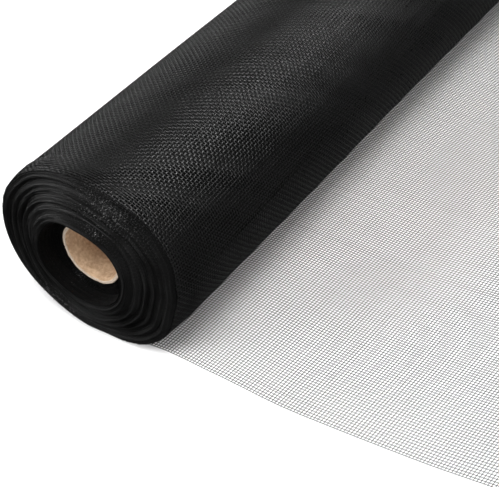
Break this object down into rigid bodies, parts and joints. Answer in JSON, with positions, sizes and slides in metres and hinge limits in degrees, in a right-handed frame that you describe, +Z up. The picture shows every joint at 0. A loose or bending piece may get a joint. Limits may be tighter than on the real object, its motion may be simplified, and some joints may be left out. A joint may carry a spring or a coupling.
{
  "type": "roll of window screen",
  "caption": "Roll of black fibreglass window screen on a cardboard core, lying on its side with its see-through loose end drawn out flat.",
  "frame": {"origin": "on the surface that the roll lies on, at the middle of the roll's flat spot", "axes": "+Y along the roll from its near end to its far end, +X towards the loose end, +Z up"},
  "size_m": [0.3171, 0.6199, 0.0876],
  "materials": {
    "cardboard": "plain brown paper tube with a pale cut end",
    "wound_mesh": "black coated fibreglass mesh in many turns, satin",
    "open_mesh": "one layer of black coated fibreglass mesh, see-through"
  },
  "bodies": {
    "root": {"core_tube": "cardboard", "wound_screen": "wound_mesh", "loose_sheet": "open_mesh"}
  },
  "joints": []
}
